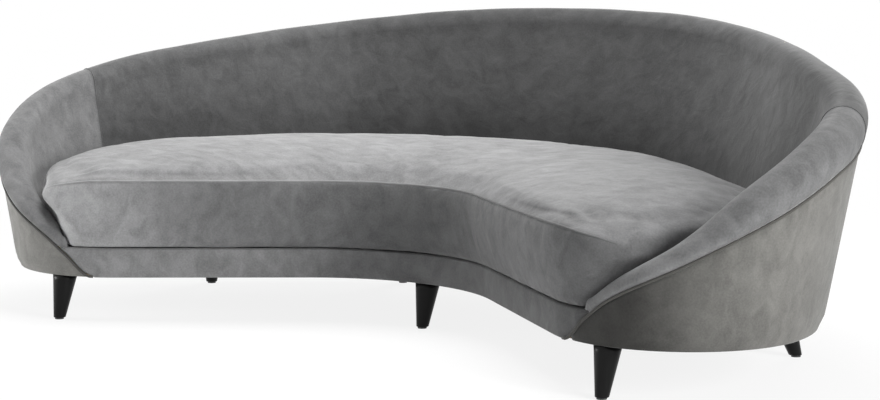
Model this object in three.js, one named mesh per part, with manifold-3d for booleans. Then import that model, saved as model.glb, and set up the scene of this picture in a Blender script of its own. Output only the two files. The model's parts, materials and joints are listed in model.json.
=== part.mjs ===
// A large curved sofa: a crescent plan, a padded back that wraps round both ends and sweeps down to the
// front corners, one loose crowned cushion, and seven raked legs.
// Millimetres, +Z up, the front faces -Y, and the two halves mirror each other in X.
import * as THREE from "three";
import Module from "manifold-3d";

const wasm = await Module();
wasm.setup();

const { Vector2, Vector3, ShapeUtils } = THREE;
const { clamp, degToRad, lerp } = THREE.MathUtils;

// Room between pieces that touch, and between those that only pass each other
const clearance = 0.3;
const slack = 3;

// Overall heights
const backHeight = 820;
const legHeight = 120;
const seatFrameHeight = 72;
const cushionHeight = 184;
const crownRise = 78;

// Plan of the underside, walked from the middle of the front edge to the middle of the back
const frontArcRadius = 491;
const frontAngle = degToRad(37.5);
const frontStraight = 511;
const endRadius = 308;
const shoulderRadius = 476;
const shoulderAngle = degToRad(46.5);
const backStraight = 300;

// Walls: how far the outside flares out from the underside to the top, and the inside leans back
const flareReach = 146.2;
const leanReach = 166.1;
const wallThickness = 140;
const rollBulge = 6;
const rollHeight = 52;
const leastRollHeight = 24;
const rollShare = 0.7;

// Shares of the run from the front corner to the middle of the back, and what changes along it
const runShares = [0, 0.028, 0.06, 0.09, 0.16, 0.24, 0.32, 0.45, 0.7, 1];
const rimShares = [0.08, 0.1, 0.14, 0.211, 0.346, 0.554, 0.694, 0.817, 0.94, 1];
const weltShares = [0, 0, 0.078, 0.149, 0.266, 0.416, 0.551, 0.657, 0.774, 0.831];
const wallShares = [0.06, 0.06, 0.1, 0.42, 0.58, 0.68, 0.76, 0.88, 0.97, 1];
const flareShares = [0, 0, 0.08, 0.22, 0.55, 0.92, 0.93, 0.81, 0.7, 0.67];
const crownShares = [0.05, 0.06, 0.08, 0.1, 0.18, 0.36, 0.6, 0.86, 1, 1];

// Upholstery
const coverThickness = 3;
const cordRadius = 3;
const cordSides = 6;
const lipDepth = 16;
const hemRadius = 6;
const coverStartRise = 12;
const tipDrop = 6;
const rollFoamOutside = 12;
const rollFoamTop = 22;
const backFoam = 28;
const thinFoamShare = 0.8;
const thinTopShare = 0.55;
const thinLipShare = 0.1;

// Seat cushion
const cushionGap = 4;
const cushionEndGap = 26;
const cushionSkin = 3;
const coreGap = 5;
const cushionFoot = 1;
const cushionProud = 36;
const cushionEdge = 26;
const cushionTuck = 18;
const cushionSplay = 172;
const endDrop = 64;
const endWidth = 24;
const endTurnShare = 0.2;
const endCrownShare = 0.4;
const waistShare = 0.72;
const lipShare = 0.8;
const endProudShare = 0.4;
const endShrinkShare = 3;
const crownAcrossShares = [0.12, 0.3, 0.52, 0.74, 0.9];
const crownLiftShares = [0.45, 0.78, 0.97, 1, 0.8];
const cushionStepCount = 40;
const endCrowding = 1.4;
const zipSteps = 2;
const zipHeight = 12;
const zipThickness = 1.2;

// Timber frame
const frameInset = 12;
const railThickness = 30;
const railLap = 40;
const boardThickness = 18;
const boardLanding = 40;
const ribThickness = 18;
const ribGap = 0.6;
const topRailThickness = 20;
const topRailRelief = 16;
const topRailStartShare = 0.2;
const ribShares = [0.25, 0.42, 0.6, 0.8];
const stretcherWidth = 30;

// Springing
const strapWidth = 60;
const strapThickness = 2;
const strapPitch = 280;
const strapsEachSide = 3;
const strapBite = 22;
const deckThickness = 2;
const deckInset = 18;
const backWebHeight = 80;
const backWebThickness = 1.6;
const backWebRise = 180;
const backWebStartShare = 0.42;

// Legs and what carries them
const legTopRadius = 33;
const legFootRadius = 16.5;
const legChamfer = 1.5;
const legInset = 41;
const frontRake = 25;
const rearRake = 42;
const frontLegRun = 175;
const rearLegShare = 0.515;
const backLegShare = 0.765;
const glideRadius = 12;
const glideHeight = 4;
const plateRadius = 20;
const blockWidth = 84;
const blockDepth = 64;
const blockHeight = 40;
const dustThickness = 1.6;
const dustInset = 17;
const dustHoleGap = 2;

// Facets
const facetSag = 1.5;
const straightStep = 130;
const leastStep = 12;
const roundSides = 20;
const holeSegments = 8;
const halvings = 24;

// Heights that follow
const frameBottom = legHeight + coverThickness + clearance;
const frameTop = frameBottom + seatFrameHeight;
const boardLow = frameTop - boardThickness;
const padLow = frameTop + clearance;
const bandTop = padLow + coverThickness;
const deckLow = padLow + strapThickness + clearance;
const deckTop = deckLow + deckThickness;
const cushionLow = deckTop + clearance;
const seamHeight = cushionLow + cushionHeight;

const looks = {
  velvet: { color: 0x86868a, roughness: 0.9, metalness: 0 },
  piping: { color: 0x6c6c70, roughness: 0.9, metalness: 0 },
  foam: { color: 0xe6dcb8, roughness: 1, metalness: 0 },
  timber: { color: 0xb48a5a, roughness: 0.8, metalness: 0 },
  webbing: { color: 0x3a3a3a, roughness: 0.95, metalness: 0 },
  blackWood: { color: 0x141414, roughness: 0.35, metalness: 0 },
  steel: { color: 0x9a9da0, roughness: 0.4, metalness: 0.9 },
  plastic: { color: 0x202020, roughness: 0.6, metalness: 0 },
};

const sofa = new THREE.Group();

function add(name, geometry, look) {
  const mesh = new THREE.Mesh(geometry, new THREE.MeshStandardMaterial(look));
  mesh.name = name;
  sofa.add(mesh);
}

// A straight stretch of the plan, with the normal that points out of the sofa
function lineRun(start, direction, length) {
  const normal = new Vector2(direction.y, -direction.x);
  return {
    length,
    steps: Math.ceil(length / straightStep),
    at: (s) => ({ point: start.clone().addScaledVector(direction, s), normal: normal.clone() }),
  };
}

// A round stretch; side is 1 where the plan bulges out and -1 where it is hollow
function arcRun(centre, radius, startAngle, sweep, side) {
  const facetAngle = Math.acos(1 - facetSag / radius) * 2;
  return {
    length: radius * Math.abs(sweep),
    steps: Math.ceil(Math.abs(sweep) / facetAngle),
    at: (s) => {
      const angle = startAngle + (Math.sign(sweep) * s) / radius;
      const ray = new Vector2(Math.cos(angle), Math.sin(angle));
      return { point: centre.clone().addScaledVector(ray, radius), normal: ray.multiplyScalar(side) };
    },
  };
}

// The half plan: hollow front, straight wing, round end, shoulder, straight and back
function planRuns() {
  const quarter = Math.PI / 2;
  const front = arcRun(new Vector2(0, -frontArcRadius), frontArcRadius, quarter, -frontAngle, -1);
  const wingDirection = new Vector2(Math.cos(frontAngle), -Math.sin(frontAngle));
  const wing = lineRun(front.at(front.length).point, wingDirection, frontStraight);
  const corner = wing.at(frontStraight);
  const endCentre = corner.point.clone().addScaledVector(corner.normal, -endRadius);
  const end = arcRun(endCentre, endRadius, -quarter - frontAngle, quarter + frontAngle, 1);
  const sideEnd = end.at(end.length).point;
  const shoulderCentre = new Vector2(sideEnd.x - shoulderRadius, sideEnd.y);
  const shoulder = arcRun(shoulderCentre, shoulderRadius, 0, shoulderAngle, 1);
  const backDirection = new Vector2(-Math.sin(shoulderAngle), Math.cos(shoulderAngle));
  const quarterBack = lineRun(shoulder.at(shoulder.length).point, backDirection, backStraight);
  const backStart = quarterBack.at(backStraight).point;
  const backRadius = backStart.x / Math.cos(shoulderAngle);
  const backCentre = new Vector2(0, backStart.y - backRadius * Math.sin(shoulderAngle));
  const back = arcRun(backCentre, backRadius, shoulderAngle, quarter - shoulderAngle, 1);
  return { front, wing, end, shoulder, quarterBack, back };
}

const plan = planRuns();
const runs = Object.values(plan);
const halfLength = runs.reduce((sum, run) => sum + run.length, 0);
const cornerPlace = plan.front.length + plan.wing.length;
const sidePlace = cornerPlace + plan.end.length;
const wrapLength = halfLength - cornerPlace;
const placeOfShare = (share) => cornerPlace + share * wrapLength;

// A place is a distance round the plan from the middle of the front: positive to +X, and on past the back.
// Its share is 0 at the front corner, where the arm starts, and 1 in the middle of the back.
function planAt(place) {
  const wrapped = place > halfLength ? place - halfLength * 2 : place;
  const run = Math.min(Math.abs(wrapped), halfLength);
  let rest = run;
  let found = plan.back.at(plan.back.length);
  for (const stretch of runs) {
    if (rest <= stretch.length) {
      found = stretch.at(rest);
      break;
    }
    rest -= stretch.length;
  }
  if (wrapped < 0) {
    found.point.x *= -1;
    found.normal.x *= -1;
  }
  return { ...found, run, share: clamp((run - cornerPlace) / wrapLength, 0, 1) };
}

// The plan's own places in half the sofa, one at each end of each facet
function halfPlaces() {
  const places = [];
  let sum = 0;
  for (const run of runs) {
    for (let i = 0; i < run.steps; i += 1) {
      places.push(sum + (run.length * i) / run.steps);
    }
    sum += run.length;
  }
  return [...places, halfLength];
}

// Places between two ends, with the marks asked for and the plan's own where they aren't too close
function placesBetween(from, to, marks = []) {
  const half = halfPlaces();
  const own = [...half.map((d) => -d), ...half, ...half.map((d) => halfLength * 2 - d)];
  const fixed = [from, ...marks.filter((d) => d > from && d < to), to];
  const free = own.filter((d) => d > from && d < to && fixed.every((f) => Math.abs(f - d) > leastStep));
  const sorted = [...fixed, ...free].sort((a, b) => a - b);
  return sorted.filter((d, i) => i === 0 || d - sorted[i - 1] > clearance);
}

const roundBack = (start, marks) => placesBetween(start, halfLength * 2 - start, marks);
const bothSides = (places) => places.flatMap((d) => [d, halfLength * 2 - d]);

// A smooth curve through values given at the run shares, which never overshoots them
function along(shares, share) {
  const slopes = runShares.slice(1).map((x, i) => (shares[i + 1] - shares[i]) / (x - runShares[i]));
  const tangents = runShares.map((x, i) => {
    if (i === 0 || i === slopes.length) {
      return slopes[Math.min(i, slopes.length - 1)];
    }
    const [before, after] = [slopes[i - 1], slopes[i]];
    return before * after <= 0 ? 0 : (2 * before * after) / (before + after);
  });
  let i = 0;
  while (i < slopes.length - 1 && share > runShares[i + 1]) {
    i += 1;
  }
  const width = runShares[i + 1] - runShares[i];
  const t = (share - runShares[i]) / width;
  const rest = 1 - t;
  const start = shares[i] * (1 + 2 * t) * rest * rest + tangents[i] * width * t * rest * rest;
  const finish = shares[i + 1] * t * t * (1 + 2 * rest) - tangents[i + 1] * width * t * t * rest;
  return start + finish;
}

// Heights and offsets of the walls; an offset is measured outward from the plan of the underside
const rimAt = (share) => lerp(legHeight, backHeight, along(rimShares, share));
const weltAt = (share) => lerp(legHeight + cordRadius, backHeight, along(weltShares, share));
const flareSlope = flareReach / (backHeight - legHeight);
const leanSlope = leanReach / (backHeight - cushionLow);
const outerAt = (share, z) => flareSlope * along(flareShares, share) * (z - legHeight);
const innerAt = (share, z) => leanSlope * (z - cushionLow) - wallThickness * along(wallShares, share);

// The place past the corner where the welt has climbed to a given height
function placeOfWelt(height) {
  let [low, high] = [0, 1];
  for (let i = 0; i < halvings; i += 1) {
    const middle = (low + high) / 2;
    if (weltAt(middle) < height) {
      low = middle;
    } else {
      high = middle;
    }
  }
  return placeOfShare(low);
}

const armStart = placeOfWelt(frameTop - tipDrop);
const weltStart = placeOfShare(runShares[1]);

// A body whose faces point out, whichever way its points ran
function closedBody(points, faces) {
  const volume = faces.reduce((sum, [a, b, c]) => {
    return sum + points[a].dot(new Vector3().crossVectors(points[b], points[c]));
  }, 0);
  const index = faces.flatMap(([a, b, c]) => (volume < 0 ? [c, b, a] : [a, b, c]));
  const positions = points.flatMap((p) => p.toArray());
  const geometry = new THREE.BufferGeometry();
  geometry.setAttribute("position", new THREE.Float32BufferAttribute(positions, 3));
  geometry.setIndex(index);
  return geometry;
}

// Triangles that fill a flat outline, turning the way the outline turns
function capFaces(outline) {
  const faces = ShapeUtils.triangulateShape([...outline], []);
  const filled = faces.reduce((sum, face) => sum + ShapeUtils.area(face.map((i) => outline[i])), 0);
  return filled * ShapeUtils.area(outline) > 0 ? faces : faces.map(([a, b, c]) => [c, b, a]);
}

// Joins sections of equal length into one closed body
function loft(sections) {
  const count = sections[0].length;
  const faces = [];
  for (let s = 1; s < sections.length; s += 1) {
    for (let i = 0; i < count; i += 1) {
      const a = (s - 1) * count + i;
      const b = (s - 1) * count + ((i + 1) % count);
      faces.push([a, b, b + count], [a, b + count, a + count]);
    }
  }
  const flat = (section) => section.map((p) => p.flat);
  const last = (sections.length - 1) * count;
  for (const [a, b, c] of capFaces(flat(sections[0]))) {
    faces.push([c, b, a]);
  }
  for (const [a, b, c] of capFaces(flat(sections[sections.length - 1]))) {
    faces.push([last + a, last + b, last + c]);
  }
  return closedBody(sections.flat().map((p) => p.place), faces);
}

// A point of a section that stands on the plan: its offset along the normal and its height
function onSection(frame, offset, z) {
  const spot = frame.point.clone().addScaledVector(frame.normal, offset);
  return { place: new Vector3(spot.x, spot.y, z), flat: new Vector2(offset, z) };
}

// Lofts an outline of offsets and heights, worked out afresh at each place
function sweep(places, outlineAt) {
  return loft(
    places.map((place) => {
      const frame = planAt(place);
      return outlineAt(frame).map(([offset, z]) => onSection(frame, offset, z));
    }),
  );
}

const boxed = (near, far, low, high) => [
  [near, low],
  [near, high],
  [far, high],
  [far, low],
];

// A flat sheet or plate with a plan outline and holes
function sheet(outline, low, thickness, holes = []) {
  const shape = new THREE.Shape(outline);
  for (const { x, y, radius } of holes) {
    shape.holes.push(new THREE.Path().absarc(x, y, radius, 0, Math.PI * 2));
  }
  const settings = { depth: thickness, bevelEnabled: false, curveSegments: holeSegments };
  return new THREE.ExtrudeGeometry(shape, settings).translate(0, 0, low);
}

const offsetPoint = (frame, offset) => frame.point.clone().addScaledVector(frame.normal, offset);

// The round of the roll: its rim, the height of its centre and the offsets of its two sides
function rollAt(share) {
  const foot = weltAt(share) + cordRadius + clearance;
  const floor = Math.max(foot, padLow);
  const rim = Math.max(rimAt(share), floor + leastRollHeight);
  const round = Math.min(rollHeight, (rim - floor) * rollShare);
  const centre = rim - round;
  const outer = outerAt(share, centre) + (rollBulge * round) / rollHeight;
  return { foot, floor, rim, round, centre, outer, inner: innerAt(share, centre) };
}

// The outline of the pad, from the welt over the rim and down the inside to the frame
function padLine(share) {
  const { foot, round, centre, outer, inner } = rollAt(share);
  const middle = (outer + inner) / 2;
  const half = (outer - inner) / 2;
  const archSteps = 4;
  const arch = Array.from({ length: archSteps + 1 }, (unused, k) => {
    const angle = (Math.PI * k) / archSteps;
    return new Vector2(middle + half * Math.cos(angle), centre + round * Math.sin(angle));
  });
  const belly = (centre + padLow) / 2;
  return [
    new Vector2(outerAt(share, foot), foot),
    ...arch,
    new Vector2(innerAt(share, belly), belly),
    new Vector2(innerAt(share, padLow), padLow),
  ];
}

// Moves the points of the pad's outline into it, keeping both ends level
function insetPad(share, amounts, foot) {
  const line = padLine(share);
  const moved = line.map((p, i) => {
    const into = p.clone().sub(line[Math.max(i - 1, 0)]).normalize();
    const away = line[Math.min(i + 1, line.length - 1)].clone().sub(p).normalize();
    const direction = into.add(away).normalize();
    return new Vector2(p.x - direction.y * amounts[i], p.y + direction.x * amounts[i]);
  });
  moved[0].y = foot;
  moved[moved.length - 1].y = padLow;
  return moved.map((p, i) => new Vector2(p.x, i === 0 ? p.y : Math.max(p.y, padLow)));
}

const pairs = (points) => points.map((p) => [p.x, p.y]);

// Cloth skins: the inside with its roll, the outside panel, and the band below the cushion
function insideCover() {
  return sweep(roundBack(armStart), ({ share }) => {
    const line = padLine(share);
    const skin = insetPad(share, line.map(() => coverThickness), line[0].y);
    return pairs([...line, ...skin.reverse()]);
  });
}

function outsideCover() {
  const start = placeOfWelt(legHeight + coverStartRise);
  return sweep(roundBack(start, bothSides([armStart])), ({ share }) => {
    const top = weltAt(share) - cordRadius - clearance;
    const middle = (top + legHeight) / 2;
    const hem = Math.min(legHeight + hemRadius, middle);
    const turn = Math.min(legHeight + coverThickness * 2, middle);
    return [
      [-lipDepth, legHeight],
      [-coverThickness, legHeight],
      [outerAt(share, hem), hem],
      [outerAt(share, top), top],
      [outerAt(share, top) - coverThickness, top],
      [outerAt(share, turn) - coverThickness, turn],
      [-coverThickness * 2, legHeight + coverThickness],
      [-lipDepth, legHeight + coverThickness],
    ];
  });
}

// The band's lower edge turns in under the frame as far as the welt, and then climbs along it
function frontBand() {
  const end = armStart - clearance;
  const turn = weltStart - cordRadius * 2;
  const marks = [turn, weltStart];
  return sweep(placesBetween(-end, end, [...marks, ...marks.map((d) => -d)]), ({ share, run }) => {
    const low = run < weltStart ? legHeight : weltAt(share) + cordRadius + clearance;
    const lip = Math.min(coverThickness, (bandTop - low) * thinLipShare);
    const reach = run < turn ? lipDepth : frameInset - slack;
    return [
      [-reach, low],
      [0, low],
      [0, bandTop],
      [-lipDepth, bandTop],
      [-lipDepth, bandTop - lip],
      [-coverThickness, bandTop - lip],
      [-coverThickness, low + lip],
      [-reach, low + lip],
    ];
  });
}

function weltCord() {
  return sweep(roundBack(weltStart, bothSides([armStart])), ({ share }) => {
    const z = weltAt(share);
    return Array.from({ length: cordSides }, (unused, k) => {
      const angle = (Math.PI * 2 * k) / cordSides;
      return [outerAt(share, z) + cordRadius * Math.cos(angle), z + cordRadius * Math.sin(angle)];
    });
  });
}

// The foam hangs over the frame; in the thin tips of the arms it closes to a slit
function foamHollow(share) {
  const { outer, inner, rim, floor } = rollAt(share);
  const skin = coverThickness + clearance;
  const limit = ((outer - inner) / 2) * thinFoamShare;
  const outside = Math.min(skin + rollFoamOutside, limit);
  const top = Math.min(skin + rollFoamTop, (rim - floor) * thinTopShare);
  const inside = Math.min(skin + backFoam, limit);
  const amounts = [outside, outside, (outside + top) / 2, top, (inside + top) / 2, inside, inside, inside];
  return insetPad(share, amounts, floor);
}

function foamPad() {
  return sweep(roundBack(armStart), ({ share }) => {
    const amounts = padLine(share).map(() => coverThickness + clearance);
    const shell = insetPad(share, amounts, rollAt(share).floor);
    return pairs([...foamHollow(share), ...shell.reverse()]);
  });
}

// The ribs stand between the foam at the front and the outer skin at the back
const foamReach = (coverThickness + clearance + backFoam) * Math.hypot(1, leanSlope);
const ribReach = foamReach + slack + backWebThickness;
const ribSetback = coverThickness + clearance + rollFoamOutside + slack;
const ribFront = (share, z) => innerAt(share, z) + ribReach;
const ribRear = (share, z) => outerAt(share, z) - ribSetback;
const topRailTop = (share) => {
  return rollAt(share).rim - coverThickness - clearance - rollFoamTop - topRailRelief;
};

const ribPlaces = [...ribShares.map(placeOfShare), halfLength];
const ribEdges = ribPlaces.flatMap((d) => [d - ribThickness / 2, d + ribThickness / 2]);

function rib(place) {
  return sweep([place - ribThickness / 2, place + ribThickness / 2], ({ share }) => {
    const top = topRailTop(share) - topRailThickness - ribGap;
    return [
      [ribFront(share, padLow), padLow],
      [ribFront(share, top), top],
      [ribRear(share, top), top],
      [Math.min(ribRear(share, padLow), -frameInset), padLow],
    ];
  });
}

function topRail() {
  return sweep(roundBack(placeOfShare(topRailStartShare), bothSides(ribEdges)), ({ share }) => {
    const top = topRailTop(share);
    const low = top - topRailThickness;
    return boxed(ribRear(share, low), ribFront(share, top), low, top);
  });
}

function backWeb() {
  const low = cushionLow + backWebRise;
  const high = low + backWebHeight;
  return sweep(roundBack(placeOfShare(backWebStartShare)), ({ share }) => [
    [ribFront(share, low) - clearance, low],
    [ribFront(share, high) - clearance, high],
    [ribFront(share, high) - clearance - backWebThickness, high],
    [ribFront(share, low) - clearance - backWebThickness, low],
  ]);
}

// Legs: where each stands on the plan, and how far its foot is carried out
const legPlaces = {
  front_left: -cornerPlace - frontLegRun,
  front_centre: 0,
  front_right: cornerPlace + frontLegRun,
  rear_left: -placeOfShare(rearLegShare),
  rear_right: placeOfShare(rearLegShare),
  back_left: -placeOfShare(backLegShare),
  back_right: placeOfShare(backLegShare),
};

// The top of a leg and where its foot is carried: the front legs rake straight forward, the others out
// along the plan's normal
function legLine(place) {
  const frame = planAt(place);
  const outward = frame.normal.clone().multiplyScalar(rearRake);
  return {
    top: offsetPoint(frame, -legInset),
    rake: frame.run < sidePlace ? new Vector2(0, -frontRake) : outward,
  };
}

function disc(centre, radius, low, high) {
  const geometry = new THREE.CylinderGeometry(radius, radius, high - low, roundSides);
  return geometry.rotateX(Math.PI / 2).translate(centre.x, centre.y, (low + high) / 2);
}

function leg(top, rake) {
  const low = glideHeight + clearance;
  const high = legHeight - clearance;
  const profile = [
    new Vector2(0, low),
    new Vector2(legFootRadius - legChamfer, low),
    new Vector2(legFootRadius, low + legChamfer),
    new Vector2(legTopRadius, high),
    new Vector2(0, high),
  ];
  const geometry = new THREE.LatheGeometry(profile, roundSides).rotateX(Math.PI / 2).translate(0, 0, -high);
  const [shearX, shearY] = [-rake.x / high, -rake.y / high];
  const shear = new THREE.Matrix4().set(1, 0, shearX, 0, 0, 1, shearY, 0, 0, 0, 1, 0, 0, 0, 0, 1);
  return geometry.applyMatrix4(shear).translate(top.x, top.y, high);
}

function addLegs() {
  for (const [name, place] of Object.entries(legPlaces)) {
    const { top, rake } = legLine(place);
    const foot = top.clone().add(rake);
    add(`glide_${name}`, disc(foot, glideRadius, 0, glideHeight), looks.plastic);
    add(`leg_${name}`, leg(top, rake), looks.blackWood);
    add(`plate_${name}`, disc(top, plateRadius, legHeight, frameBottom - clearance), looks.steel);
    add(`block_${name}`, legBlock(place), looks.timber);
  }
}

// Seat frame: rails set in from the covers, leg blocks inside them, and a board that carries the ribs
const railBack = -frameInset - railThickness;
const blockEdges = Object.values(legPlaces).flatMap((d) => [d - blockWidth / 2, d + blockWidth / 2]);
const railSplit = cornerPlace + railLap;
const frontPlaces = placesBetween(-railSplit, railSplit, blockEdges);
const rearPlaces = roundBack(railSplit + clearance, bothSides(blockEdges.map(Math.abs)));

function legBlock(place) {
  const near = railBack - clearance;
  return sweep(placesBetween(place - blockWidth / 2, place + blockWidth / 2), () => {
    return boxed(near, near - blockDepth, frameBottom, frameBottom + blockHeight);
  });
}

function frontRail() {
  return sweep(frontPlaces, () => boxed(-frameInset, railBack, frameBottom, frameTop));
}

function rearRail() {
  return sweep(rearPlaces, () => boxed(-frameInset, railBack, frameBottom, boardLow - clearance));
}

const boardBack = (share) => innerAt(share, padLow) - boardLanding;

function seatBoard() {
  return sweep(rearPlaces, ({ share }) => boxed(-frameInset, boardBack(share), boardLow, frameTop));
}

// Where a line of one x crosses a curve that keeps to an offset of the plan
function crossing(x, places, offsetAt) {
  const line = places.map((place) => {
    const frame = planAt(place);
    return offsetPoint(frame, offsetAt(frame));
  });
  for (let i = 1; i < line.length; i += 1) {
    const [a, b] = [line[i - 1], line[i]];
    const t = (x - a.x) / (b.x - a.x);
    if (t >= 0 && t <= 1) {
      return lerp(a.y, b.y, t);
    }
  }
  return 0;
}

// A bar or strap that runs from the front to the back between two offsets of the plan
function crossbar(x, width, low, thickness, frontOffset, rearOffset) {
  const side = Math.sign(x);
  const front = placesBetween(0, sidePlace, blockEdges);
  const rear = placesBetween(sidePlace, halfLength, blockEdges);
  const edges = [Math.abs(x) - width / 2, Math.abs(x) + width / 2];
  const [nearFront, farFront] = edges.map((edge) => crossing(edge, front, frontOffset));
  const [nearRear, farRear] = edges.map((edge) => crossing(edge, rear, rearOffset));
  const outline = [
    new Vector2(side * edges[0], nearFront),
    new Vector2(side * edges[1], farFront),
    new Vector2(side * edges[1], farRear),
    new Vector2(side * edges[0], nearRear),
  ];
  return sheet(outline, low, thickness);
}

// The stretchers pass just inside the blocks of the two legs at the back
function stretcher(side) {
  const blockEnd = planAt(placeOfShare(backLegShare) + blockWidth / 2);
  const x = side * (offsetPoint(blockEnd, railBack - blockDepth).x - slack * 2 - stretcherWidth / 2);
  const inside = () => railBack - slack / 2;
  return crossbar(x, stretcherWidth, frameBottom, boardLow - clearance - frameBottom, inside, inside);
}

// A strap bites on the front rail, or on the board where the rail has ended, and on the board behind
function strap(x) {
  const onBoard = ({ share }) => boardBack(share) + strapBite;
  const onFront = (frame) => (frame.run > railSplit ? onBoard(frame) : railBack + strapBite);
  return crossbar(x, strapWidth, padLow, strapThickness, onFront, onBoard);
}

function seatDeck() {
  const front = placesBetween(-armStart + slack, armStart - slack).map((place) => {
    return offsetPoint(planAt(place), -deckInset);
  });
  const back = roundBack(armStart).map((place) => {
    const frame = planAt(place);
    return offsetPoint(frame, innerAt(frame.share, padLow) - cushionGap);
  });
  return sheet([...front, ...back], deckLow, deckThickness);
}

function dustCover() {
  const outline = placesBetween(-halfLength, halfLength).slice(1);
  const holes = Object.values(legPlaces).map((place) => {
    const { x, y } = legLine(place).top;
    return { x, y, radius: plateRadius + dustHoleGap };
  });
  const points = outline.map((place) => offsetPoint(planAt(place), -dustInset));
  return sheet(points, frameBottom - clearance - dustThickness, dustThickness, holes);
}

// Seat cushion, lofted from one end to the other: t runs from -1 to 1, and each section joins a place
// on the front edge to a place on the back. Its ends lean out along the arms as they rise.
const endNearness = (t) => clamp((Math.abs(t) - 1 + endTurnShare) / endTurnShare, 0, 1);
const endHeight = (z) => clamp((z - cushionLow) / (cushionHeight - endDrop), 0, 1);

function cushionPlaces(t, z, shrink) {
  const splay = cushionSplay * endHeight(z) ** 3 * t ** 6;
  const frontEnd = armStart - cushionEndGap - shrink * endShrinkShare;
  const backEnd = frontEnd + endWidth;
  const side = t < 0 ? -1 : 1;
  const share = Math.abs(t);
  const back = side * (lerp(halfLength, backEnd, share) + splay);
  return { front: side * (frontEnd * share + splay), back };
}

function cushionBackOffset(share, z, shrink) {
  return innerAt(share, z) - cushionGap - shrink;
}

// Near its ends the front edge turns in, above the floor, until it meets the back edge at the arm
function cushionSection(t, shrink, floor) {
  const nearness = endNearness(t);
  const turn = 1 - Math.sqrt(1 - nearness ** 2);
  const low = cushionLow + floor;
  const seam = seamHeight - shrink - endDrop * nearness ** 3;
  const edge = seam - cushionEdge;
  const waist = (low + seam) / 2;
  const fullCrown = along(crownShares, planAt(cushionPlaces(t, low, shrink).back).share);
  const crown = fullCrown * lerp(1, endCrownShare, turn);
  const proud = cushionProud * lerp(endProudShare, 1, crown);
  const backAt = (z, lean, tuck) => {
    const frame = planAt(cushionPlaces(t, z, shrink).back);
    return onSection(frame, cushionBackOffset(frame.share, lean, shrink) - tuck, z).place;
  };
  const frontAt = (offset, z) => {
    const frame = planAt(cushionPlaces(t, z, shrink).front);
    const meeting = cushionBackOffset(frame.share, Math.min(z, waist), shrink);
    const turned = turn * (1 - (1 - endHeight(z)) ** 6);
    return onSection(frame, lerp(offset - shrink, meeting, turned), z).place;
  };
  const lip = frontAt(proud * lipShare, seam);
  const backTop = backAt(seam, waist, cushionTuck * (1 - turn));
  const crownRow = crownAcrossShares.map((across, i) => {
    const point = lip.clone().lerp(backTop, across);
    point.z = seam + crownRise * crown * crownLiftShares[i];
    return point;
  });
  const row = [
    frontAt(cushionFoot, low),
    frontAt(proud * waistShare, waist),
    frontAt(proud, edge),
    lip,
    ...crownRow,
    backTop,
    backAt(edge, waist, 0),
    backAt(low, low, 0),
  ];
  const origin = row[0].clone().setZ(0);
  const direction = row[row.length - 1].clone().setZ(0).sub(origin).normalize();
  return row.map((place) => {
    return { place, flat: new Vector2(place.clone().setZ(0).sub(origin).dot(direction), place.z) };
  });
}

// The sections stand closer together towards the ends
const cushionSteps = Array.from({ length: cushionStepCount + 1 }, (unused, k) => {
  const even = (k * 2) / cushionStepCount - 1;
  return Math.sign(even) * (1 - (1 - Math.abs(even)) ** endCrowding);
});

function cushionBody(shrink, floor) {
  return loft(cushionSteps.map((t) => cushionSection(t, shrink, floor)));
}

// A strip along the middle of the cushion's back face, from one depth to another
function zipStrip(near, far, height) {
  const edge = seamHeight - cushionEdge;
  const waist = (cushionLow + seamHeight) / 2;
  const middle = (cushionLow + edge) / 2;
  const middleStep = cushionStepCount / 2;
  return loft(
    cushionSteps.slice(middleStep - zipSteps, middleStep + zipSteps + 1).map((t) => {
      const { back } = cushionPlaces(t, cushionLow, 0);
      const frame = planAt(back < 0 ? back + halfLength * 2 : back);
      const low = cushionBackOffset(frame.share, cushionLow, 0);
      const high = cushionBackOffset(frame.share, waist, 0);
      const faceAt = (z) => lerp(low, high, (z - cushionLow) / (edge - cushionLow));
      const outline = boxed(near, far, middle - height / 2, middle + height / 2);
      return outline.map(([depth, z]) => onSection(frame, faceAt(z) - depth, z));
    }),
  );
}

function solidOf(geometry) {
  const vertProperties = Float32Array.from(geometry.attributes.position.array);
  const triVerts = Uint32Array.from(geometry.index.array);
  return new wasm.Manifold(new wasm.Mesh({ numProp: 3, vertProperties, triVerts }));
}

function geometryOf(solid) {
  const { vertProperties, triVerts } = solid.getMesh();
  const geometry = new THREE.BufferGeometry();
  geometry.setAttribute("position", new THREE.BufferAttribute(vertProperties, 3));
  geometry.setIndex(new THREE.BufferAttribute(triVerts, 1));
  return geometry;
}

// The cover is a shell round the core, open where the zip closes it
function cushionCover() {
  const slot = solidOf(zipStrip(-cushionTuck, cushionSkin + slack, zipHeight + clearance * 2));
  const hollow = solidOf(cushionBody(cushionSkin, cushionSkin));
  return geometryOf(solidOf(cushionBody(0, 0)).subtract(hollow).subtract(slot));
}

function addCushion() {
  add("cushion_cover", cushionCover(), looks.velvet);
  add("cushion_core", cushionBody(cushionSkin + coreGap, cushionSkin + clearance), looks.foam);
  const zipDepth = cushionSkin - clearance;
  add("cushion_zip", zipStrip(zipDepth - zipThickness, zipDepth, zipHeight), looks.plastic);
}

function addSeatFrame() {
  add("front_rail", frontRail(), looks.timber);
  add("rear_rail", rearRail(), looks.timber);
  add("seat_board", seatBoard(), looks.timber);
  for (const [name, side] of [["left", -1], ["right", 1]]) {
    add(`stretcher_${name}`, stretcher(side), looks.timber);
  }
  for (let i = 0; i < strapsEachSide * 2; i += 1) {
    add(`strap_${i + 1}`, strap((i + 0.5 - strapsEachSide) * strapPitch), looks.webbing);
  }
  add("seat_deck", seatDeck(), looks.webbing);
  add("dust_cover", dustCover(), looks.webbing);
}

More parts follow.
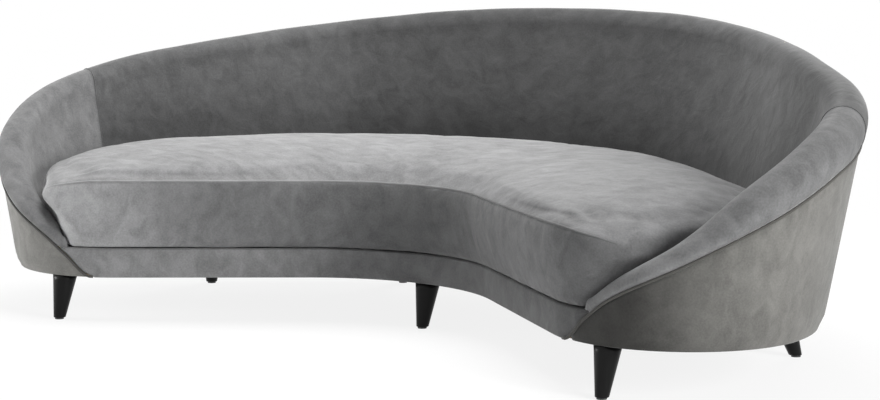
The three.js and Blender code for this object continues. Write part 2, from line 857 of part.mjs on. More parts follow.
function addBack() {
  for (const [i, share] of ribShares.entries()) {
    add(`rib_left_${i + 1}`, rib(-placeOfShare(share)), looks.timber);
    add(`rib_right_${i + 1}`, rib(placeOfShare(share)), looks.timber);
  }
  add("rib_centre", rib(halfLength), looks.timber);
  add("top_rail", topRail(), looks.timber);
  add("back_web", backWeb(), looks.webbing);
  add("back_foam", foamPad(), looks.foam);
}

function addCovers() {
  add("inside_back_cover", insideCover(), looks.velvet);
  add("outside_cover", outsideCover(), looks.velvet);
  add("front_band", frontBand(), looks.velvet);
  add("welt_cord", weltCord(), looks.piping);
}

addLegs();
addSeatFrame();
addBack();
addCovers();
addCushion();

// The origin is on the floor in the middle of the sofa's box
sofa.position.y = -new THREE.Box3().setFromObject(sofa).getCenter(new Vector3()).y;

export default sofa;
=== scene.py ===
import json
import math
from bisect import bisect_right

import bmesh
import bpy
from mathutils import Matrix, Vector, noise
from mathutils.bvhtree import BVHTree
from mathutils.kdtree import KDTree


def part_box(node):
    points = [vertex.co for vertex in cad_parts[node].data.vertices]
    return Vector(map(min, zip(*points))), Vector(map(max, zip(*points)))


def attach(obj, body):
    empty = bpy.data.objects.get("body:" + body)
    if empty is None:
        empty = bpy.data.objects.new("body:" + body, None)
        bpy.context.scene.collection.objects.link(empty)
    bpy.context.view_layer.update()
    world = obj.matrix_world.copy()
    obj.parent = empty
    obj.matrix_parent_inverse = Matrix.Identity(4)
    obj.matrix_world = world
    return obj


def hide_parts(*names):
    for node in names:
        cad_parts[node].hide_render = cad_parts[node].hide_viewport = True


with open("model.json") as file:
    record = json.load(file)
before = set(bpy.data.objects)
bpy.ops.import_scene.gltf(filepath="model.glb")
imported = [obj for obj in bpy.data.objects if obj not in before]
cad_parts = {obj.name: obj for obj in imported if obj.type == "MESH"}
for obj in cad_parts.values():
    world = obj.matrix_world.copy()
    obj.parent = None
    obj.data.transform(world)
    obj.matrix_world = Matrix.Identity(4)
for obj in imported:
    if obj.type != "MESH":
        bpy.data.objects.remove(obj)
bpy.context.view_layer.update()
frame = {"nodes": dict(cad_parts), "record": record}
nodes = frame["nodes"]

MM = 0.001
SOFA, CUSHION = "sofa", "cushion"

# Plan of the underside and the tables along it, in millimetres, after the part's source
FRONT_RADIUS, FRONT_ANGLE, WING = 491, math.radians(37.5), 511
END_RADIUS = 308
SHOULDER_RADIUS, SHOULDER_ANGLE, BACK_STRAIGHT = 476, math.radians(46.5), 300
BACK_HEIGHT, LEG_HEIGHT = 820, 120
GAP, COVER, RAIL_HEIGHT, CLOTH = 0.3, 3, 72, 2
FRAME_TOP = LEG_HEIGHT + COVER + GAP + RAIL_HEIGHT
PAD_LOW = FRAME_TOP + GAP
BAND_TOP = PAD_LOW + COVER
DECK_TOP = PAD_LOW + (CLOTH * 2 + GAP)
CUSHION_LOW = DECK_TOP + GAP
HEM = LEG_HEIGHT + 0.2
CUSHION_HEIGHT, CROWN_RISE = 184, 78
SEAM_HEIGHT = CUSHION_LOW + CUSHION_HEIGHT
FLARE, LEAN = math.radians(11.8), math.radians(15)
WALL, ROLL_BULGE, ROLL_HEIGHT, LEAST_ROLL, ROLL_SHARE = 140, 6, 52, 24, 0.7
CORD = 3
RUN_SHARES = [0, 0.028, 0.06, 0.09, 0.16, 0.24, 0.32, 0.45, 0.7, 1]
RIM_SHARES = [0.08, 0.1, 0.14, 0.211, 0.346, 0.554, 0.694, 0.817, 0.94, 1]
WELT_SHARES = [0, 0, 0.078, 0.149, 0.266, 0.416, 0.551, 0.657, 0.774, 0.831]
WALL_SHARES = [0.06, 0.06, 0.1, 0.42, 0.58, 0.68, 0.76, 0.88, 0.97, 1]
FLARE_SHARES = [0, 0, 0.08, 0.22, 0.55, 0.92, 0.93, 0.81, 0.7, 0.67]
CROWN_SHARES = [0.05, 0.06, 0.08, 0.1, 0.18, 0.36, 0.6, 0.86, 1, 1]
LEG_INSET, FRONT_RAKE = 41, 25

# The front middle leg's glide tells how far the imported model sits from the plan's own middle
low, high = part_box("glide_front_centre")
SHIFT = (low[1] + high[1]) / 2 / MM - (LEG_INSET - FRONT_RAKE)


def curve_through(xs, ys):
    """A smooth curve through points, which never overshoots them"""
    slopes = [(ys[i + 1] - ys[i]) / (xs[i + 1] - xs[i]) for i in range(len(xs) - 1)]
    tangents = [slopes[0]]
    for before, after in zip(slopes, slopes[1:]):
        tangents.append(0 if before * after <= 0 else 2 * before * after / (before + after))
    tangents.append(slopes[-1])

    def at(x):
        i = min(max(bisect_right(xs, x) - 1, 0), len(slopes) - 1)
        width = xs[i + 1] - xs[i]
        t = (x - xs[i]) / width
        rest = 1 - t
        start = ys[i] * (1 + 2 * t) * rest * rest + tangents[i] * width * t * rest * rest
        return start + ys[i + 1] * t * t * (1 + 2 * rest) - tangents[i + 1] * width * t * t * rest

    return at


def lerp(a, b, t):
    return a + (b - a) * t


def arc(cx, cy, radius, start, sweep, side):
    """Its length, and a function that gives the point and outward normal at a length along it"""
    def at(s):
        angle = start + math.copysign(s, sweep) / radius
        c, d = math.cos(angle), math.sin(angle)
        return cx + radius * c, cy + radius * d, side * c, side * d

    return radius * abs(sweep), at


def plan_runs():
    """The runs of half the plan, from the front's middle round to the back's"""
    quarter = math.pi / 2
    front = arc(0, -FRONT_RADIUS, FRONT_RADIUS, quarter, -FRONT_ANGLE, -1)
    x, y, nx, ny = front[1](front[0])
    dx, dy = math.cos(FRONT_ANGLE), -math.sin(FRONT_ANGLE)
    wing = (WING, lambda s: (x + dx * s, y + dy * s, nx, ny))
    corner = wing[1](WING)
    centre = corner[0] - nx * END_RADIUS, corner[1] - ny * END_RADIUS
    end = arc(*centre, END_RADIUS, -quarter - FRONT_ANGLE, quarter + FRONT_ANGLE, 1)
    side = end[1](end[0])
    shoulder = arc(side[0] - SHOULDER_RADIUS, side[1], SHOULDER_RADIUS, 0, SHOULDER_ANGLE, 1)
    bx, by, mx, my = shoulder[1](shoulder[0])
    straight = (BACK_STRAIGHT, lambda s: (bx - my * s, by + mx * s, mx, my))
    rx, ry = straight[1](BACK_STRAIGHT)[:2]
    radius = rx / math.cos(SHOULDER_ANGLE)
    centre_y = ry - radius * math.sin(SHOULDER_ANGLE)
    back = arc(0, centre_y, radius, SHOULDER_ANGLE, quarter - SHOULDER_ANGLE, 1)
    return [front, wing, end, shoulder, straight, back]


RUNS = plan_runs()
HALF = sum(length for length, at in RUNS)
CORNER = RUNS[0][0] + RUNS[1][0]
WRAP = HALF - CORNER


def plan_at(place):
    """The point, outward normal and share of a place round the plan, in millimetres"""
    wrapped = place - HALF * 2 if place > HALF else place
    run = min(abs(wrapped), HALF)
    rest = run
    for length, at in RUNS:
        if rest <= length + MM:
            break
        rest -= length
    x, y, nx, ny = at(min(rest, length))
    if wrapped < 0:
        x, nx = -x, -nx
    return x, y, nx, ny, min(max((run - CORNER) / WRAP, 0), 1)


# The rim's padding rounds over the middle of the back, where the wooden rail peaks
rim_share = curve_through([*RUN_SHARES[:-1], 0.8, 0.9, 1], [*RIM_SHARES[:-1], 0.975, 0.995, 1])
welt_share, wall_share, flare_share, crown_share = (
    curve_through(RUN_SHARES, table) for table in (WELT_SHARES, WALL_SHARES, FLARE_SHARES, CROWN_SHARES)
)


# Heights and offsets from the plan, at a share of the way from a front corner to the back's middle
def welt_at(share):
    return lerp(LEG_HEIGHT + CORD, BACK_HEIGHT, welt_share(share))


def outer_at(share, z):
    return math.tan(FLARE) * flare_share(share) * (z - LEG_HEIGHT)


def inner_at(share, z):
    return math.tan(LEAN) * (z - CUSHION_LOW) - WALL * wall_share(share)


def place_of_welt(height):
    """The place round the plan where the welt has risen to a height"""
    a, b = 0.0, 1.0
    for step in range(30):
        middle = (a + b) / 2
        if welt_at(middle) < height:
            a = middle
        else:
            b = middle
    return CORNER + a * WRAP


ARM_START = place_of_welt(FRAME_TOP - 6)
WELT_START = CORNER + RUN_SHARES[1] * WRAP
SEAM_PLACE = CORNER + 0.365 * WRAP


def spread(start, end, step):
    """Even places from start to end, about one step apart"""
    count = max(int((end - start) / step), 2)
    return [lerp(start, end, i / count) for i in range(count + 1)]


def quarter_round(steps, first=0):
    """How far out and up a quarter circle of radius one goes, in even steps"""
    angles = [math.pi / 2 * k / steps for k in range(first, steps + 1)]
    return [(math.sin(a), 1 - math.cos(a)) for a in angles]


def put(place, offset, z):
    """A point given by its place on the plan, its offset from it and its height, in metres"""
    x, y, nx, ny, share = plan_at(place)
    return Vector(((x + nx * offset) * MM, (y + ny * offset + SHIFT) * MM, z * MM))


def new_piece(name, mesh, body, material, smooth=True):
    obj = bpy.data.objects.new(name, mesh)
    bpy.context.scene.collection.objects.link(obj)
    mesh.materials.clear()
    mesh.materials.append(material)
    for face in mesh.polygons:
        face.use_smooth = smooth
    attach(obj, body)
    return obj


def grid_mesh(name, rows, closed=False, caps=False):
    """A mesh from rows of points; closed joins each row's end to its start, and caps fills both ends"""
    mesh = bpy.data.meshes.new(name)
    count = len(rows[0])
    faces = []
    for r in range(len(rows) - 1):
        for i in range(count if closed else count - 1):
            a, b = r * count + i, r * count + (i + 1) % count
            faces.append((a, b, b + count, a + count))
    if caps:
        last = (len(rows) - 1) * count
        faces.append(tuple(range(count)))
        faces.append(tuple(last + i for i in reversed(range(count))))
    mesh.from_pydata([p for row in rows for p in row], [], faces)
    outward = bmesh.new()
    outward.from_mesh(mesh)
    bmesh.ops.recalc_face_normals(outward, faces=outward.faces)
    outward.to_mesh(mesh)
    outward.free()
    return mesh


def tube_mesh(name, points, radius, sides=12, across=None):
    """A round cord along points; across is a direction that stays square to all of it"""
    rows = []
    for i, p in enumerate(points):
        along = (points[min(i + 1, len(points) - 1)] - points[max(i - 1, 0)]).normalized()
        side = across or along.cross(Vector((0, 0, 1))).normalized()
        up = side.cross(along).normalized()
        ring = [math.tau * k / sides for k in range(sides)]
        rows.append([p + (side * math.cos(a) + up * math.sin(a)) * radius for a in ring])
    return grid_mesh(name, rows, closed=True, caps=True)


# Materials
def node_at(tree, kind, settings, sockets):
    node = tree.nodes.new(kind)
    for key, value in settings.items():
        setattr(node, key, value)
    for key, value in sockets.items():
        node.inputs[key].default_value = value
    return node


def start_material(name):
    material = bpy.data.materials.new(name)
    material.use_nodes = True
    tree = material.node_tree
    return material, tree, tree.nodes["Principled BSDF"]


def cloud(tree, coords, scale, detail=3.0, distortion=0.0, stretch=(1, 1, 1)):
    mapping = node_at(tree, "ShaderNodeMapping", {}, {"Scale": stretch})
    tree.links.new(coords, mapping.inputs["Vector"])
    sockets = {"Scale": scale, "Detail": detail, "Distortion": distortion}
    node = node_at(tree, "ShaderNodeTexNoise", {}, sockets)
    tree.links.new(mapping.outputs["Vector"], node.inputs["Vector"])
    return node.outputs["Fac"]


def ramp(tree, factor, low_colour, high_colour, low=0.3, high=0.7):
    node = tree.nodes.new("ShaderNodeValToRGB")
    first, last = node.color_ramp.elements
    first.position, last.position = low, high
    first.color, last.color = (*low_colour, 1), (*high_colour, 1)
    tree.links.new(factor, node.inputs["Fac"])
    return node.outputs["Color"]


def bump(tree, height, strength, distance, normal=None):
    node = node_at(tree, "ShaderNodeBump", {}, {"Strength": strength, "Distance": distance})
    tree.links.new(height, node.inputs["Height"])
    if normal is not None:
        tree.links.new(normal, node.inputs["Normal"])
    return node.outputs["Normal"]


def mix_colours(tree, a, b, amount, mode="MIX"):
    node = node_at(tree, "ShaderNodeMix", {"data_type": "RGBA", "blend_type": mode}, {0: amount})
    tree.links.new(a, node.inputs[6])
    tree.links.new(b, node.inputs[7])
    return node.outputs[2]


def shade(colour, factor):
    return tuple(min(c * factor, 1) for c in colour)


def grade(tree, value, start, end, first, last):
    """Changes softly from the first number to the last as the value goes from start to end"""
    sockets = {1: start, 2: end, 3: first, 4: last}
    node = node_at(tree, "ShaderNodeMapRange", {"interpolation_type": "SMOOTHSTEP"}, sockets)
    tree.links.new(value, node.inputs[0])
    return node.outputs[0]


def blend(tree, factor, a, b):
    """A number between a and b, each of them fixed or worked out by other nodes"""
    node = node_at(tree, "ShaderNodeMix", {"data_type": "FLOAT"}, {})
    tree.links.new(factor, node.inputs[0])
    for socket, value in ((2, a), (3, b)):
        if isinstance(value, float):
            node.inputs[socket].default_value = value
        else:
            tree.links.new(value, node.inputs[socket])
    return node.outputs[0]


def parts_of(tree, vector):
    node = tree.nodes.new("ShaderNodeSeparateXYZ")
    tree.links.new(vector, node.inputs[0])
    return node.outputs


def absolute(tree, value):
    node = node_at(tree, "ShaderNodeMath", {"operation": "ABSOLUTE"}, {})
    tree.links.new(value, node.inputs[0])
    return node.outputs[0]


def combine(tree, operation, a, b):
    node = node_at(tree, "ShaderNodeMath", {"operation": operation}, {})
    tree.links.new(a, node.inputs[0])
    tree.links.new(b, node.inputs[1])
    return node.outputs[0]


def arm_mask(tree, coords):
    """1 on the two arms and 0 on the back, parted at the seams down the inside"""
    x, y, nx, ny, share = plan_at(SEAM_PLACE)
    offset_y = nx * (y + SHIFT) * MM
    from_x = node_at(tree, "ShaderNodeMath", {"operation": "MULTIPLY_ADD"}, {1: ny, 2: -ny * x * MM})
    from_y = node_at(tree, "ShaderNodeMath", {"operation": "MULTIPLY_ADD"}, {1: -nx, 2: offset_y})
    tree.links.new(absolute(tree, parts_of(tree, coords)["X"]), from_x.inputs[0])
    tree.links.new(parts_of(tree, coords)["Y"], from_y.inputs[0])
    total = combine(tree, "ADD", from_x.outputs[0], from_y.outputs[0])
    return grade(tree, total, -0.004, 0.01, 0.0, 1.0)


# Painted light and shade on each panel, standing in for the way light falls on the pile: a share of its
# colour, by where the point is in metres
def shell_painted_shading(tree, coords, normal):
    place = parts_of(tree, coords)
    x, z = place["X"], place["Z"]
    # Painted light and shade across the back, changing from left to right
    left = grade(tree, x, -1.0, -0.35, 1.28, 0.74)
    right = blend(tree, grade(tree, x, 0.1, 0.6, 0.0, 1.0), 0.74, grade(tree, x, 0.75, 1.1, 1.08, 0.8))
    across = blend(tree, grade(tree, x, -0.1, 0.1, 0.0, 1.0), left, right)
    # Painted shade: the back darkens towards its foot, where it meets the seat
    back = combine(tree, "MULTIPLY", across, grade(tree, z, 0.42, 0.62, 0.6, 1.0))
    # Painted light: the inside of the arms is made about twice as light as the back
    arms = blend(tree, grade(tree, x, -0.5, 0.5, 0.0, 1.0), 2.05, grade(tree, z, 0.2, 0.7, 2.15, 1.4))
    return blend(tree, arm_mask(tree, coords), back, arms)


def seat_painted_shading(tree, coords, normal):
    x = parts_of(tree, coords)["X"]
    # Painted light and shade: the front border is light at the left end and dark from the middle on; the
    # top, by its upward facing, is light and darker towards the right
    left, right = grade(tree, x, -0.85, -0.4, 1.45, 0.57), grade(tree, x, 0.3, 0.6, 0.43, 0.55)
    border = blend(tree, grade(tree, x, -0.3, 0.1, 0.0, 1.0), left, right)
    top = grade(tree, x, -0.2, 0.95, 0.98, 0.72)
    return blend(tree, grade(tree, parts_of(tree, normal)["Z"], 0.3, 0.75, 0.0, 1.0), border, top)


def band_painted_shading(tree, coords, normal):
    # Painted light and shade: lighter at the left and darker towards the right
    return grade(tree, parts_of(tree, coords)["X"], -0.5, 0.4, 1.18, 0.52)


def panel_painted_shading(tree, coords, normal):
    place = parts_of(tree, coords)
    # Painted shade: the front of the right arm is much darker, under the roll, easing off at its tip;
    # painted light: the front of the left arm is lighter
    tip = grade(tree, place["X"], 0.9, 1.2, 0.25, 0.84)
    arms = blend(tree, grade(tree, place["X"], -0.3, 0.3, 0.0, 1.0), 1.25, tip)
    return blend(tree, grade(tree, place["Y"], -0.3, 0.1, 0.0, 1.0), arms, 0.95)


def dress(tree, shader, tone, relief, roughness):
    tree.links.new(tone, shader.inputs["Base Color"])
    tree.links.new(relief, shader.inputs["Normal"])
    shader.inputs["Roughness"].default_value = roughness


def velvet(name, colour, depth, sheen, painted_shading=None):
    """Short-pile velvet: broad brushed patches, small crushed marks, and a fine pile, with painted light
    and shade by place and facing where the last argument gives it
    """
    material, tree, shader = start_material(name)
    source = tree.nodes.new("ShaderNodeTexCoord")
    coords = source.outputs["Object"]
    patches = cloud(tree, coords, 4.2, 6.0, 0.3, (1, 1, 0.7))
    marks = cloud(tree, coords, 34.0, 4.0, 0.6, (0.5, 1, 0.55))
    pile = cloud(tree, coords, 230.0, 4.0)
    broad = ramp(tree, patches, shade(colour, 1 - depth), shade(colour, 1 + depth), 0.32, 0.68)
    small = ramp(tree, marks, shade(colour, 1 - depth * 1.6), shade(colour, 1 + depth * 1.6), 0.3, 0.7)
    fine = ramp(tree, pile, shade(colour, 1 - depth * 1.8), shade(colour, 1 + depth * 1.8), 0.3, 0.7)
    tone = mix_colours(tree, broad, small, 0.5)
    tone = mix_colours(tree, tone, fine, 0.22)
    # Painted light and shade: the colour is scaled by a share worked out from place and facing
    if painted_shading:
        painted_tone = node_at(tree, "ShaderNodeVectorMath", {"operation": "SCALE"}, {})
        tree.links.new(tone, painted_tone.inputs[0])
        tree.links.new(painted_shading(tree, coords, source.outputs["Normal"]), painted_tone.inputs["Scale"])
        tone = painted_tone.outputs[0]
    creases = cloud(tree, coords, 16.0, 4.0, 0.8, (1, 1, 1.3))
    soft = bump(tree, creases, 0.3, 0.008)
    dress(tree, shader, tone, bump(tree, pile, 0.2, 0.001, soft), 0.92)
    shader.inputs["Specular IOR Level"].default_value = 0.18
    shader.inputs["Sheen Weight"].default_value = sheen
    shader.inputs["Sheen Roughness"].default_value = 0.42
    shader.inputs["Sheen Tint"].default_value = (0.95, 0.95, 0.94, 1)
    return material


def lacquer(name, colour, roughness):
    material, tree, shader = start_material(name)
    coords = tree.nodes.new("ShaderNodeTexCoord").outputs["Object"]
    grain = cloud(tree, coords, 60.0, 5.0, 0.4, (1, 1, 0.08))
    tone = ramp(tree, grain, shade(colour, 0.75), shade(colour, 1.35))
    dress(tree, shader, tone, bump(tree, grain, 0.12, 0.0006), roughness)
    shader.inputs["Specular IOR Level"].default_value = 0.12
    shader.inputs["Coat Weight"].default_value = 0.02
    shader.inputs["Coat Roughness"].default_value = 0.2
    return material


def timber(name, colour):
    material, tree, shader = start_material(name)
    coords = tree.nodes.new("ShaderNodeTexCoord").outputs["Object"]
    grain = cloud(tree, coords, 24.0, 6.0, 1.2, (0.25, 1, 1))
    tone = ramp(tree, grain, shade(colour, 0.7), shade(colour, 1.2))
    dress(tree, shader, tone, bump(tree, grain, 0.2, 0.001), 0.75)
    return material


def cloth(name, colour, scale):
    """Woven webbing or lining cloth"""
    material, tree, shader = start_material(name)
    coords = tree.nodes.new("ShaderNodeTexCoord").outputs["Object"]
    sockets = {"Scale": scale, "Distortion": 0.4, "Detail": 1.0}
    across = node_at(tree, "ShaderNodeTexWave", {"bands_direction": "X"}, sockets)
    down = node_at(tree, "ShaderNodeTexWave", {"bands_direction": "Y"}, sockets)
    for wave in (across, down):
        tree.links.new(coords, wave.inputs["Vector"])
    weave = mix_colours(tree, across.outputs["Color"], down.outputs["Color"], 0.8, "MULTIPLY")
    tone = ramp(tree, weave, shade(colour, 0.7), shade(colour, 1.3), 0.1, 0.9)
    dress(tree, shader, tone, bump(tree, weave, 0.4, 0.0008), 0.9)
    return material


def speckled(name, colour, scale, roughness, metallic=0.0):
    """Foam, zinc plate and moulded plastic: one colour with a fine grain"""
    material, tree, shader = start_material(name)
    coords = tree.nodes.new("ShaderNodeTexCoord").outputs["Object"]
    grain = cloud(tree, coords, scale, 4.0)
    tone = ramp(tree, grain, shade(colour, 0.85), shade(colour, 1.12))
    dress(tree, shader, tone, bump(tree, grain, 0.3, 0.0008), roughness)
    shader.inputs["Metallic"].default_value = metallic
    return material


# The inside, outside, band and seat velvets are one fabric; their different base colours are painted light
# and shade, darkest inside the back and arms and lightest on the seat
shell_velvet = velvet("velvet_inside", (0.082, 0.082, 0.0825), 0.3, 0.24, shell_painted_shading)
panel_velvet = velvet("velvet_outside", (0.165, 0.162, 0.152), 0.26, 0.3, panel_painted_shading)
band_velvet = velvet("velvet_band", (0.18, 0.18, 0.181), 0.3, 0.22, band_painted_shading)
seat_velvet = velvet("velvet_seat", (0.23, 0.23, 0.232), 0.3, 0.22, seat_painted_shading)
welt_velvet = velvet("velvet_welt", (0.075, 0.073, 0.068), 0.08, 0.15)
seam_velvet = velvet("velvet_seam", (0.23, 0.23, 0.231), 0.12, 0.3, band_painted_shading)
black = lacquer("black_lacquer", (0.006, 0.006, 0.006), 0.36)
finishes = {
    "foam": speckled("foam_cream", (0.8, 0.74, 0.55), 220.0, 0.95),
    "timber": timber("sawn_timber", (0.5, 0.33, 0.18)),
    "webbing": cloth("black_cloth", (0.035, 0.035, 0.035), 320.0),
    "black_wood": black,
    "steel": speckled("zinc_plate", (0.6, 0.6, 0.61), 90.0, 0.35, 1.0),
    "glide_plastic": speckled("moulded_plastic", (0.03, 0.03, 0.03), 400.0, 0.55),
    "velvet": shell_velvet,
    "seat_velvet": seat_velvet,
    "piping": welt_velvet,
}
for subpart in frame["record"]["subparts"]:
    mesh = nodes[subpart["node"]].data
    mesh.materials.clear()
    mesh.materials.append(finishes[subpart["material_slot"]])


# Inside of the back and arms, with the roll, as one padded shell
SIDE_POINTS, ARCH_POINTS, WALL_POINTS = 7, 18, 16
NOSE, NOSE_STEPS = 17, (1, 0.98, 0.94, 0.87, 0.76, 0.62, 0.45, 0.25, 0.08)
NOSE_LOW, ARM_SEAM_RADIUS = BAND_TOP + 0.4, 1.3 * MM
SHELL_STEP, SHELL_THICKNESS, TRIM_THICKNESS = 14, 3 * MM, 2.5 * MM


def roll_at(share):
    """The heights and offsets of the roll: where it starts, where it peaks and how wide it is"""
    foot = welt_at(share) + CORD + GAP
    floor = max(foot, PAD_LOW)
    rim = max(rim_share(share) * (BACK_HEIGHT - LEG_HEIGHT) + LEG_HEIGHT, floor + LEAST_ROLL)
    rise = min(ROLL_HEIGHT, (rim - floor) * ROLL_SHARE)
    centre = rim - rise
    outer = outer_at(share, centre) + ROLL_BULGE * rise / ROLL_HEIGHT
    return foot, floor, rim, rise, centre, outer, inner_at(share, centre)


def shell_row(place):
    """From the welt up the outside, over the roll and down the inside; rounded off past the arms' tips"""
    past = min(place, HALF * 2 - place) - ARM_START
    share = plan_at(max(min(place, HALF * 2), ARM_START))[4] if past >= 0 else plan_at(ARM_START)[4]
    foot, floor, rim, rise, centre, outer, inner = roll_at(share)
    near = min(max(-past / NOSE, 0), 1)
    swell = math.sqrt(max(1 - near * near, 0.003))
    low_outer = outer_at(share, foot)
    middle, half = (outer + inner) / 2, (outer - inner) / 2
    row = []
    for k in range(SIDE_POINTS):
        t = k / SIDE_POINTS
        lift = 1 - (1 - t) ** 2
        row.append((lerp(low_outer, outer, lift), lerp(foot, centre, t)))
    for k in range(ARCH_POINTS + 1):
        angle = math.pi * k / ARCH_POINTS
        row.append((middle + half * math.cos(angle), centre + rise * math.sin(angle)))
    for k in range(1, WALL_POINTS + 1):
        z = lerp(centre, PAD_LOW, k / WALL_POINTS)
        row.append((inner_at(share, z), z))
    if past >= 0:
        return [put(place, x, z) for x, z in row]
    low = NOSE_LOW
    return [put(place, middle + (x - middle) * swell, low + max(z - low, 0) * swell) for x, z in row]


def ripple(mesh, size, depth):
    """Small uneven swells in a padded surface"""
    mesh.update()
    normals = [v.normal.copy() for v in mesh.vertices]
    for v, normal in zip(mesh.vertices, normals):
        v.co += normal * noise.noise(v.co / size) * depth


nose_places = [ARM_START - NOSE * t for t in NOSE_STEPS]
inside = spread(ARM_START, HALF * 2 - ARM_START, SHELL_STEP)
places = nose_places + inside + [HALF * 2 - p for p in reversed(nose_places)]
shell_mesh = grid_mesh("back_shell", [shell_row(p) for p in places])
ripple(shell_mesh, 0.16, 1.6 * MM)
shell = new_piece("back_shell", shell_mesh, SOFA, shell_velvet)


def thicken(obj, depth):
    """Gives an open sheet its real thickness, to the side its faces don't look at"""
    bpy.context.view_layer.objects.active = obj
    modifier = obj.modifiers.new("thickness", "SOLIDIFY")
    modifier.thickness, modifier.offset = depth, -1
    modifier.use_quality_normals = True
    apply_modifiers(obj)


def apply_modifiers(obj):
    graph = bpy.context.evaluated_depsgraph_get()
    mesh = bpy.data.meshes.new_from_object(obj.evaluated_get(graph))
    obj.modifiers.clear()
    obj.data = mesh


def face_away(obj, inside_point):
    """Turns a sheet's faces so that they look away from a point"""
    mesh = obj.data
    score = sum((f.center - inside_point).dot(f.normal) * f.area for f in mesh.polygons)
    if score < 0:
        mesh.flip_normals()


def face_up(obj):
    if sum(f.normal.z * f.area for f in obj.data.polygons) < 0:
        obj.data.flip_normals()


face_up(shell)
thicken(shell, SHELL_THICKNESS)
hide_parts("inside_back_cover")

# The seams where the arms' velvet meets the back's
for name, place in (("arm_seam_right", SEAM_PLACE), ("arm_seam_left", HALF * 2 - SEAM_PLACE)):
    nx, ny = plan_at(place)[2:4]
    line = shell_row(place)[:-3]
    mesh = tube_mesh(name, line, ARM_SEAM_RADIUS, 8, Vector((ny, -nx, 0)))
    new_piece(name, mesh, SOFA, shell_velvet)

# Outside panel, with a soft turn at its lower edge
PANEL_TURN, PANEL_DRAW, PANEL_LIP, PANEL_EDGE = 50, 8, 16, 5
PANEL_ROWS, PANEL_STEP, PANEL_START_RISE = 14, 18, 10
TOP_TUCK, TOP_RISE = 4, 1.5


def panel_row(place):
    """From the lip under the frame round the lower edge and up to the welt"""
    share = plan_at(place)[4]
    top = welt_at(share) - CORD
    turned = -PANEL_DRAW - PANEL_EDGE
    row = [(-PANEL_LIP, LEG_HEIGHT + GAP * 2), (turned, HEM)]
    row += [(turned + PANEL_EDGE * out, LEG_HEIGHT + PANEL_EDGE * rise) for out, rise in quarter_round(6)]
    for k in range(1, PANEL_ROWS + 1):
        z = lerp(LEG_HEIGHT + PANEL_EDGE, max(top, LEG_HEIGHT + PANEL_EDGE + 1), k / PANEL_ROWS)
        low_part = max(1 - (z - LEG_HEIGHT) / PANEL_TURN, 0)
        row.append((outer_at(share, z) - PANEL_DRAW * low_part ** 2, z))
    row.append((outer_at(share, top) - TOP_TUCK, top + TOP_RISE))
    return [put(place, x, z) for x, z in row]


panel_start = place_of_welt(LEG_HEIGHT + PANEL_START_RISE)
panel_places = spread(panel_start, HALF * 2 - panel_start, PANEL_STEP)
panel_mesh = grid_mesh("outer_panel", [panel_row(p) for p in panel_places])
panel = new_piece("outer_panel", panel_mesh, SOFA, panel_velvet)
face_away(panel, Vector((0, 0, 0.4)))
thicken(panel, TRIM_THICKNESS)
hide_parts("outside_cover")


# Band below the cushion
BAND_EDGE, BAND_BULGE, BAND_LOW_LIP, BAND_TOP_LIP, BAND_STEP = 6, 1.6, 14, 16, 14


def band_row(place):
    """From the lip under the frame up the front and in over the top"""
    share = plan_at(place)[4]
    low = HEM if abs(place) < WELT_START else welt_at(share) + CORD
    high = max(BAND_TOP, low + 1)
    edge = min(BAND_EDGE, (high - low) / 3)
    turn = quarter_round(5)
    row = [(-BAND_LOW_LIP, low), (-edge, low)]
    row += [(edge * (out - 1), low + edge * rise) for out, rise in turn[1:]]
    for k in range(1, 8):
        t = k / 8
        row.append((BAND_BULGE * math.sin(math.pi * t), lerp(low + edge, high - edge, t)))
    row += [(edge * (out - 1), high - edge * rise) for out, rise in reversed(turn)]
    row.append((-BAND_TOP_LIP, high))
    return [put(place, offset, z) for offset, z in row]


band_end = ARM_START - 0.5
band_mesh = grid_mesh("front_border", [band_row(p) for p in spread(-band_end, band_end, BAND_STEP)])
band = new_piece("front_border", band_mesh, SOFA, band_velvet)
face_away(band, put(0, -200, 160))
thicken(band, TRIM_THICKNESS)
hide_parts("front_band")

# Welt between the roll and the outside panel
WELT_RADIUS, WELT_PROUD, WELT_REACH, WELT_STEP = 3.4 * MM, 0.8, 6, 10
welt_points = []
for place in spread(WELT_START - WELT_REACH, HALF * 2 - WELT_START + WELT_REACH, WELT_STEP):
    share = plan_at(place)[4]
    z = welt_at(share)
    welt_points.append(put(place, outer_at(share, z) + WELT_PROUD, z))
welt_mesh = tube_mesh("welt_piping", welt_points, WELT_RADIUS)
welt = new_piece("welt_piping", welt_mesh, SOFA, welt_velvet)
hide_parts("welt_cord")

# Seat cushion: a boxed shape swollen by a cloth simulation, with its seams added afterwards
CUSHION_GAP, END_GAP, PROUD, TUCK = 4, 26, 36, 18
SPLAY, END_DROP, END_WIDTH, END_TURN, END_CROWN, END_PROUD = 172, 64, 24, 0.2, 0.4, 0.4
FRONT_HEIGHTS = [0.0, 0.06, 0.2, 0.5, 0.8, 0.93, 1.0]
FRONT_PROUD = curve_through(FRONT_HEIGHTS, [0.03, 0.3, 0.52, 0.8, 1.0, 0.98, 0.8])
CROWN_PLACES = [0, 0.06, 0.12, 0.3, 0.52, 0.74, 0.9, 1]
CROWN_LIFT = curve_through(CROWN_PLACES, [0, 0.3, 0.46, 0.78, 0.97, 1, 0.8, 0.16])
STEPS, FRONT_ROWS, TOP_ROWS, BACK_ROWS = 90, 14, 18, 8
BOTTOM_INSET = 14
SHRINK, LEAST_FILL, SEAM_HOLD, LOW_HOLD = 1, 1 * MM, 15 * MM, 10
VOXEL, SWELL_FRAMES, LOW_SWELL, MORE_SWELL, SEAM_STEPS = 12 * MM, 20, 3, 10, 160
SEAM_RADIUS, SEAM_SINK, SINK_POINTS = 3.2 * MM, 4 * MM, 8


